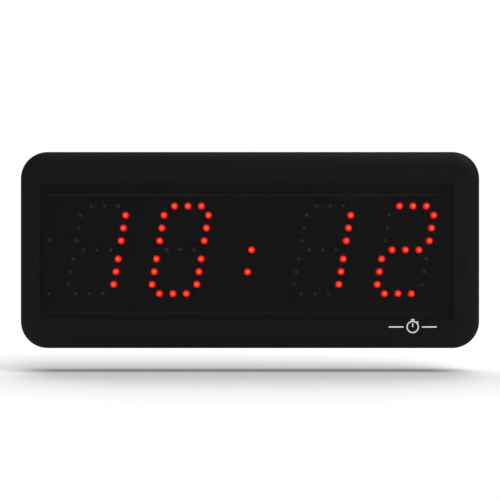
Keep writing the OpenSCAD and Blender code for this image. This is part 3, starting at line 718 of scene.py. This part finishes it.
class LampSettings(bpy.types.PropertyGroup):
    lens_diameter: length("Lens", "Diameter of a lamp", 5 * MM)
    flange: length("Flange", "How far the flange stands out", 0.4 * MM)
    flange_height: length("Flange height", "Height of the flange", 1 * MM)
    lit_tip: tone("Lit tip", "Light at the tip of a lit lens", (1.0, 0.16, 0.004))
    lit_skirt: tone("Lit skirt", "Light at the side of a lit lens", (1.0, 0.001, 0.012))
    # The unlit tip colour is a painted highlight, the glint of the dome.
    unlit: tone("Unlit tip", "Colour at the tip of an unlit lens", (0.25, 0.25, 0.25))
    unlit_skirt: tone("Unlit skirt", "Colour at the side of an unlit lens", (0.03, 0.03, 0.03))
    brightness: amount("Brightness", "Strength of the light", 3.5)


class CaseSettings(bpy.types.PropertyGroup):
    housing: tone("Housing", "Colour of the rear housing", (0.02, 0.02, 0.021))
    mask: tone("Mask", "Colour of the masking frame", (0.035, 0.035, 0.0354))
    button: tone("Buttons", "Colour of the button caps", (0.035, 0.035, 0.037))
    zinc: tone("Zinc", "Colour of the bracket's plating", (0.5, 0.51, 0.53))
    zinc_bloom: tone("Zinc bloom", "Colour of the plating's patches", (0.36, 0.385, 0.43))
    edge: length("Edges", "Width of the moulded edges' rounding", 0.35 * MM)


class StageSettings(bpy.types.PropertyGroup):
    distance: length("Distance", "From the camera to the front of the case", 1.1)
    view_width: length("View width", "Width of the view at the front of the case", 0.3703)
    floor_drop: length("Floor", "How far below the middle of the case the floor lies", 0.0912)
    paper: tone("Paper", "Colour of the floor", (0.9, 0.9, 0.9))
    surround: amount("Surround", "Light from all round", 0.22)
    key: amount("Soft lights", "Strength of each soft light overhead", 1.98)
    key_lean: angle("Lean", "How far each soft light leans to the front or the back", 40.0)
    key_turn: angle("Turn", "How far the front light stands to the right", 40.0)
    key_spread: angle("Spread", "Width of each soft light, as an angle", 60.0)


class TimerSettings(bpy.types.PropertyGroup):
    cover: bpy.props.PointerProperty(type=CoverSettings)
    lamps: bpy.props.PointerProperty(type=LampSettings)
    case: bpy.props.PointerProperty(type=CaseSettings)
    stage: bpy.props.PointerProperty(type=StageSettings)


# ---------- studio ----------

class LAMPTIMER_OT_stage(bpy.types.Operator):
    """Camera, paper floor, surround and two soft lights overhead"""
    bl_idname = "lamp_timer.stage"
    bl_label = "Studio"

    def execute(self, context):
        stage = settings().stage
        low, high = CAD_BOUNDS
        self.add_camera(context, stage, low[1])
        self.add_floor(context, stage)
        self.add_surround(context, stage)
        self.add_light(context, stage, "Front_Light", stage.key_lean, stage.key_turn)
        self.add_light(context, stage, "Rear_Light", -stage.key_lean, 0.0)
        context.scene.view_settings.view_transform = "Standard"
        return {"FINISHED"}

    def add_camera(self, context, stage, front_y):
        data = bpy.data.cameras.new("Camera")
        data.sensor_width = 36.0
        data.lens = data.sensor_width * stage.distance / stage.view_width
        camera = bpy.data.objects.new("Camera", data)
        camera.location = (0.0, front_y - stage.distance, 0.0)
        camera.rotation_euler = (math.radians(90), 0.0, 0.0)
        context.scene.collection.objects.link(camera)
        context.scene.camera = camera

    def add_floor(self, context, stage):
        """A square of paper, 12 m wide, which only shows from above."""
        reach = 6.0
        mesh = bpy.data.meshes.new("Paper_Floor")
        corners = [(x, y, -stage.floor_drop) for x, y in
                   ((-reach, -reach), (reach, -reach), (reach, reach), (-reach, reach))]
        mesh.from_pydata(corners, [], [(0, 1, 2, 3)])
        floor = bpy.data.objects.new("Paper_Floor", mesh)
        context.scene.collection.objects.link(floor)
        t = FinishTree("Paper")
        fibre = t.noise(300.0, 3.0)
        paper = colour(stage.paper)
        tone = t.mix(fibre * 0.2, paper, tuple(c * 0.98 for c in paper))
        under = t.node("NewGeometry", output="Backfacing")
        mesh.materials.append(t.set(Base_Color=tone, Roughness=0.9, Specular_IOR_Level=0.0,
                                    Alpha=1.0 - under))

    def add_surround(self, context, stage):
        """White behind the case, and softer light from all round."""
        world = bpy.data.worlds.new("Surround")
        world.use_nodes = True
        nodes, links = world.node_tree.nodes, world.node_tree.links
        seen = nodes.new("ShaderNodeLightPath").outputs["Is Camera Ray"]
        choose = nodes.new("ShaderNodeMix")
        choose.inputs["A"].default_value = stage.surround
        choose.inputs["B"].default_value = WHITE_BACKDROP
        links.new(seen, choose.inputs["Factor"])
        background = nodes["Background"]
        background.inputs["Color"].default_value = (1.0, 1.0, 1.0, 1.0)
        links.new(choose.outputs["Result"], background.inputs["Strength"])
        context.scene.world = world

    def add_light(self, context, stage, name, lean, turn):
        """A broad sun that leans towards the front, or towards the back if lean is negative."""
        data = bpy.data.lights.new(name, "SUN")
        data.energy = stage.key
        data.angle = stage.key_spread
        light = bpy.data.objects.new(name, data)
        light.rotation_euler = (lean, 0.0, turn)
        context.scene.collection.objects.link(light)


# ---------- front of the case ----------

class LAMPTIMER_OT_cover(bpy.types.Operator):
    """Smoked front cover with its rolled edge and screw bosses, and the printed sign"""
    bl_idname = "lamp_timer.cover"
    bl_label = "Front cover"

    def execute(self, context):
        cover = settings().cover
        low, high = box_of("front_cover")
        half_w, half_h = (high[0] - low[0]) / 2, (high[2] - low[2]) / 2
        inner_run, inner_drop = cover.roll_run - 2 * MM, cover.roll_drop - 1.5 * MM
        outer = self.wall_rings(half_w, half_h, cover.corner_radius, low[1], high[1],
                                cover.roll_run, cover.roll_drop)
        inner = self.wall_rings(half_w - cover.wall, half_h - cover.wall,
                                cover.corner_radius - cover.wall, low[1] + cover.face, high[1],
                                inner_run, inner_drop)
        rings = np.concatenate([inner, outer[::-1]])[None]
        add_piece("Cover_Moulding", [(rings, False)], "smoked_cover", ["front_cover"])
        self.add_bosses(cover, low, high, half_w, half_h)
        dress("front_mark")
        return {"FINISHED"}

    def wall_rings(self, half_w, half_h, radius, front_y, back_y, run, drop):
        """Rings from the flat of the face out over a quarter ellipse and back along the skirt.

        Over the roll the inset is run (1 - sin a) and the depth is drop (1 - cos a). The skirt's
        last edge is chamfered.
        """
        a = np.radians(np.linspace(0, 90, 19))
        deep, chamfer = back_y - front_y, 0.15 * MM
        inset = np.concatenate([[run + 1 * MM], run * (1 - np.sin(a)), [0.0, 0.0, chamfer]])
        depth = np.concatenate([[0.0], drop * (1 - np.cos(a)),
                                [deep - 0.5 * MM, deep - chamfer, deep]])
        return np.stack([rounded_ring(half_w, half_h, radius, i, front_y + d)
                         for i, d in zip(inset, depth)])

    def add_bosses(self, cover, low, high, half_w, half_h):
        """Round posts with a blind hole, their feet sunk a little into the face."""
        r, hole = cover.boss_diameter / 2, cover.pilot_diameter / 2
        x, z = half_w - cover.boss_inset, half_h - cover.boss_inset
        sunk, bottom = 0.5 * MM, 3 * MM
        foot = low[1] + cover.face - sunk
        tall = high[1] - foot
        centres = [(sx * x, foot, sz * z) for sx in (-1, 1) for sz in (-1, 1)]
        profile = softened([(r * 0.5, 0), (r, 0), (r, tall), (hole, tall), (hole, bottom),
                            (hole * 0.2, bottom)], 0.3 * MM)
        add_piece("Cover_Bosses", [(turned(profile, centres, BACK, 28), False)], "smoked_cover",
                  ["front_cover"])


class LAMPTIMER_OT_lamps(bpy.types.Operator):
    """Round lamps of the digits, the colon and the indicators"""
    bl_idname = "lamp_timer.lamps"
    bl_label = "Lamps"

    def execute(self, context):
        lamps = settings().lamps
        for node, slot in SLOT_OF.items():
            if slot in ("lamp_lit", "lamp_unlit"):
                self.add_lamps(node, slot, lamps)
        return {"FINISHED"}

    def add_lamps(self, node, slot, lamps):
        """Each lens is a flange, a straight skirt and a dome r cos a, h + r sin a."""
        low, high = box_of(node)
        tall, r = high[1] - low[1], lamps.lens_diameter / 2
        wide, thick = r + lamps.flange, lamps.flange_height
        a = np.radians(np.linspace(0, 86, 9))
        foot = softened([(r * 0.6, 0), (wide, 0), (wide, thick), (r, thick), (r, tall - r)],
                        0.12 * MM, 2)
        dome = np.stack([r * np.cos(a), tall - r + r * np.sin(a)], -1)
        centres = foremost_points(node)
        centres[:, 1] = high[1]
        points = turned(np.concatenate([foot[:-1], dome]), centres, FRONT, 20)
        add_piece("Lens_" + node, [(points, False)], slot, [node])


class LAMPTIMER_OT_display(bpy.types.Operator):
    """Masking frame and lamp board with its receiver, drivers, solder and screws"""
    bl_idname = "lamp_timer.display"
    bl_label = "Display board"

    def execute(self, context):
        dress("mask_frame", 0.25 * MM)
        dress("display_board", 0.35 * MM)
        for node in ("remote_receiver", "lamp_solder_joints", "display_driver_chips",
                     "display_board_screws"):
            dress(node)
        return {"FINISHED"}


# ---------- back of the case ----------

class LAMPTIMER_OT_housing(bpy.types.Operator):
    """Rear housing, its screws and its rating plate"""
    bl_idname = "lamp_timer.housing"
    bl_label = "Rear housing"

    def execute(self, context):
        dress("rear_housing", settings().case.edge)
        dress("case_screws", 0.15 * MM)
        dress("rating_plate")
        return {"FINISHED"}


class LAMPTIMER_OT_bracket(bpy.types.Operator):
    """Steel wall bracket with its hooks"""
    bl_idname = "lamp_timer.bracket"
    bl_label = "Wall bracket"

    def execute(self, context):
        dress("wall_bracket", 0.2 * MM)
        return {"FINISHED"}


class LAMPTIMER_OT_rubber(bpy.types.Operator):
    """Cable grommet and wall bumpers"""
    bl_idname = "lamp_timer.rubber"
    bl_label = "Rubber parts"

    def execute(self, context):
        self.add_grommet()
        self.add_bumpers()
        return {"FINISHED"}

    def add_grommet(self):
        """A closed profile: bore, two flanges and the groove that sits in the housing's wall."""
        low, high = box_of("cable_grommet")
        centre = ((low[0] + high[0]) / 2, high[1], (low[2] + high[2]) / 2)
        r = (high[0] - low[0]) / 2
        bore, groove, inner, flange = 5 * MM, 7.5 * MM, r - 0.8 * MM, 1.5 * MM
        deep, start = high[1] - low[1], bore + 1 * MM
        corners = [(start, 0), (r, 0), (r, flange), (groove, flange), (groove, deep - flange),
                   (inner, deep - flange), (inner, deep), (bore, deep), (bore, 0), (start, 0)]
        profile = softened(corners, 0.5 * MM)[:-1]
        add_piece("Grommet", [(turned(profile, centre, FRONT, 48), True)], "rubber_black",
                  ["cable_grommet"])

    def add_bumpers(self):
        """Four round feet with a chamfered rim."""
        low, high = box_of("wall_bumpers")
        r, deep, chamfer = 6 * MM, high[1] - low[1], 0.6 * MM
        centres = [(x, high[1], z) for x in (low[0] + r, high[0] - r)
                   for z in (low[2] + r, high[2] - r)]
        profile = softened([(r * 0.2, 0), (r - chamfer, 0), (r, chamfer), (r, deep),
                            (r * 0.3, deep)], 0.4 * MM)
        add_piece("Bumpers", [(turned(profile, centres, FRONT, 36), False)], "rubber_black",
                  ["wall_bumpers"])


# ---------- buttons ----------

class LAMPTIMER_OT_buttons(bpy.types.Operator):
    """Button caps, switch plungers and return springs, on their switches"""
    bl_idname = "lamp_timer.buttons"
    bl_label = "Buttons"

    def execute(self, context):
        for name in ("start", "set"):
            self.add_cap(name)
            self.add_plunger(name)
            self.add_spring(name)
        dress("button_board")
        dress("switch_bodies", 0.2 * MM)
        return {"FINISHED"}

    def place_of(self, node):
        """A round node's box, and the middle of its lower end."""
        low, high = box_of(node)
        return low, high, ((low[0] + high[0]) / 2, (low[1] + high[1]) / 2, low[2])

    def add_cap(self, name):
        """A dished face inside a rounded rim, then the shaft, the stop flange and the stem."""
        node = name + "_button_cap"
        low, high, centre = self.place_of(node)
        flange = (high[0] - low[0]) / 2
        r, stem, tall = 4.5 * MM, 2 * MM, high[2] - low[2]
        flange_low, flange_high = 3.3 * MM, 4.5 * MM
        dish = [(POLE, 0.35 * MM), (2.4 * MM, 0.3 * MM), (3.2 * MM, 0.0)]
        corners = dish + [(r, 0), (r, flange_low), (flange, flange_low), (flange, flange_high),
                          (stem, flange_high), (stem, tall), (POLE, tall)]
        profile = softened(corners, 0.45 * MM, 5)
        add_piece("Cap_" + name, [(turned(profile, centre, UP, 48), False)], "black_button",
                  [node])

    def add_plunger(self, name):
        """A straight stem with a flange at its top, which the spring pushes on."""
        node = name + "_switch_plunger"
        low, high, centre = self.place_of(node)
        flange, stem, tall = (high[0] - low[0]) / 2, 1.7 * MM, high[2] - low[2]
        step = tall - 0.8 * MM
        profile = softened([(POLE, 0), (stem, 0), (stem, step), (flange, step), (flange, tall),
                            (POLE, tall)], 0.2 * MM)
        add_piece("Plunger_" + name, [(turned(profile, centre, UP, 32), False)], "plunger_red",
                  [node])

    def add_spring(self, name):
        """A coil c + R (cos a, sin a) whose end turns lie flat and whose middle turns rise."""
        node, joint = name + "_switch_spring", name + "_button_press"
        low, high = box_of(node)
        wire, turns, dead, sides = 0.2 * MM, 5.0, 1.0, 10
        coil_r = (high[0] - low[0]) / 2 - wire
        turn = np.linspace(0, turns, 161)
        rise = np.clip((turn - dead) / (turns - 2 * dead), 0, 1)
        z = low[2] + wire + (high[2] - low[2] - 2 * wire) * rise
        a = turn * 2 * math.pi
        centre = (low + high) / 2
        radial = np.stack([np.cos(a), np.sin(a), np.zeros_like(a)], -1)
        path = centre * (1, 1, 0) + radial * coil_r + z[:, None] * np.array(UP)
        s = np.arange(sides) * 2 * math.pi / sides
        tube = (path[:, None] + wire * np.cos(s)[None, :, None] * radial[:, None]
                + wire * np.sin(s)[None, :, None] * np.array(UP))
        spring = add_piece("Spring_" + name, [(tube[None], False)], "cell_steel", [node], "case")
        travel = next(j for j in frame["joints"] if j["name"] == joint)["range_m"][1]
        1 - travel / (high[2] - low[2])
        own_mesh(spring)


# ---------- boards and wiring ----------

class LAMPTIMER_OT_boards(bpy.types.Operator):
    """Power and control boards with everything soldered or screwed to them"""
    bl_idname = "lamp_timer.boards"
    bl_label = "Inner boards"

    def execute(self, context):
        for node in ("power_board", "control_board", "control_chips", "board_screws",
                     "terminal_screws", "crystal", "fuse", "fuse_clips"):
            dress(node)
        for node in ("power_module", "mains_terminal_block", "signal_terminal_block",
                     "capacitors", "cell_holder", "backup_cell"):
            dress(node, 0.25 * MM)
        return {"FINISHED"}


class LAMPTIMER_OT_sounder(bpy.types.Operator):
    """Sounder and its foam seal"""
    bl_idname = "lamp_timer.sounder"
    bl_label = "Sounder"

    def execute(self, context):
        dress("sounder", 0.5 * MM)
        dress("sounder_seal", 0.2 * MM)
        return {"FINISHED"}


class LAMPTIMER_OT_wiring(bpy.types.Operator):
    """Ribbon cable, link cable and leads with their plugs"""
    bl_idname = "lamp_timer.wiring"
    bl_label = "Wiring"

    def execute(self, context):
        for node in ("ribbon_connectors", "link_connectors", "lead_connectors"):
            dress(node, 0.25 * MM)
        self.add_rising_cores("Ribbon", "ribbon_cable", 14, 0.9 * MM)
        self.add_rising_cores("Button_Lead", "button_lead", 3, 1.2 * MM, spaced=True)
        self.add_rising_cores("Sounder_Lead", "sounder_lead", 2, 1.2 * MM, spaced=True)
        self.add_arch("Link", "link_cable", 6, 1.0 * MM)
        return {"FINISHED"}

    def add_rising_cores(self, name, node, count, thick, spaced=False):
        """Cores side by side in X that rise in Z while y eases over by half a cosine wave.

        Spaced cores are round and stand apart. The others are flattened and touch.
        """
        low, high = box_of(node)
        half_across = thick / 2 if spaced else (high[0] - low[0]) / count / 2
        u = np.linspace(0, 1, 33)
        z = low[2] + (high[2] - low[2]) * u
        y = high[1] - thick / 2 - (high[1] - low[1] - thick) * (1 - np.cos(math.pi * u)) / 2
        x = np.linspace(low[0] + half_across, high[0] - half_across, count)
        cores = [swept(np.stack([np.full(u.shape, at), y, z], -1), (1, 0, 0), half_across,
                       thick / 2) for at in x]
        add_piece(name, [(np.stack(cores), False)], SLOT_OF[node], [node])

    def add_arch(self, name, node, count, thick):
        """Cores side by side in Z that bow forwards by half a sine wave."""
        low, high = box_of(node)
        half_across = (high[2] - low[2]) / count / 2
        u = np.linspace(0, 1, 33)
        x = low[0] + (high[0] - low[0]) * u
        y = high[1] - thick / 2 - (high[1] - low[1] - thick) * np.sin(math.pi * u)
        z = np.linspace(low[2] + half_across, high[2] - half_across, count)
        cores = [swept(np.stack([x, y, np.full(u.shape, at)], -1), (0, 0, 1), half_across,
                       thick / 2) for at in z]
        add_piece(name, [(np.stack(cores), False)], SLOT_OF[node], [node])


# ---------- add-on ----------

class LAMPTIMER_PT_panel(bpy.types.Panel):
    """Buttons that build the timer's pieces"""
    bl_idname = "LAMPTIMER_PT_panel"
    bl_label = "Lamp timer"
    bl_space_type = "VIEW_3D"
    bl_region_type = "UI"
    bl_category = "Timer"

    def draw(self, context):
        for operator in OPERATORS:
            self.layout.operator(operator.bl_idname)
        for group in (settings().cover, settings().lamps, settings().case, settings().stage):
            box = self.layout.box()
            for name in group.__annotations__:
                box.prop(group, name)


OPERATORS = (
    LAMPTIMER_OT_stage,
    LAMPTIMER_OT_cover,
    LAMPTIMER_OT_lamps,
    LAMPTIMER_OT_display,
    LAMPTIMER_OT_housing,
    LAMPTIMER_OT_bracket,
    LAMPTIMER_OT_rubber,
    LAMPTIMER_OT_buttons,
    LAMPTIMER_OT_boards,
    LAMPTIMER_OT_sounder,
    LAMPTIMER_OT_wiring,
)
CLASSES = (CoverSettings, LampSettings, CaseSettings, StageSettings, TimerSettings,
           *OPERATORS, LAMPTIMER_PT_panel)


def register():
    for cls in CLASSES:
        bpy.utils.register_class(cls)
    bpy.types.Scene.lamp_timer = bpy.props.PointerProperty(type=TimerSettings)


def unregister():
    del bpy.types.Scene.lamp_timer
    for cls in reversed(CLASSES):
        bpy.utils.unregister_class(cls)


def main():
    """Builds everything."""
    register()
    for operator in OPERATORS:
        getattr(bpy.ops.lamp_timer, operator.bl_idname.split(".")[1])()


if __name__ == "__main__":
    main()
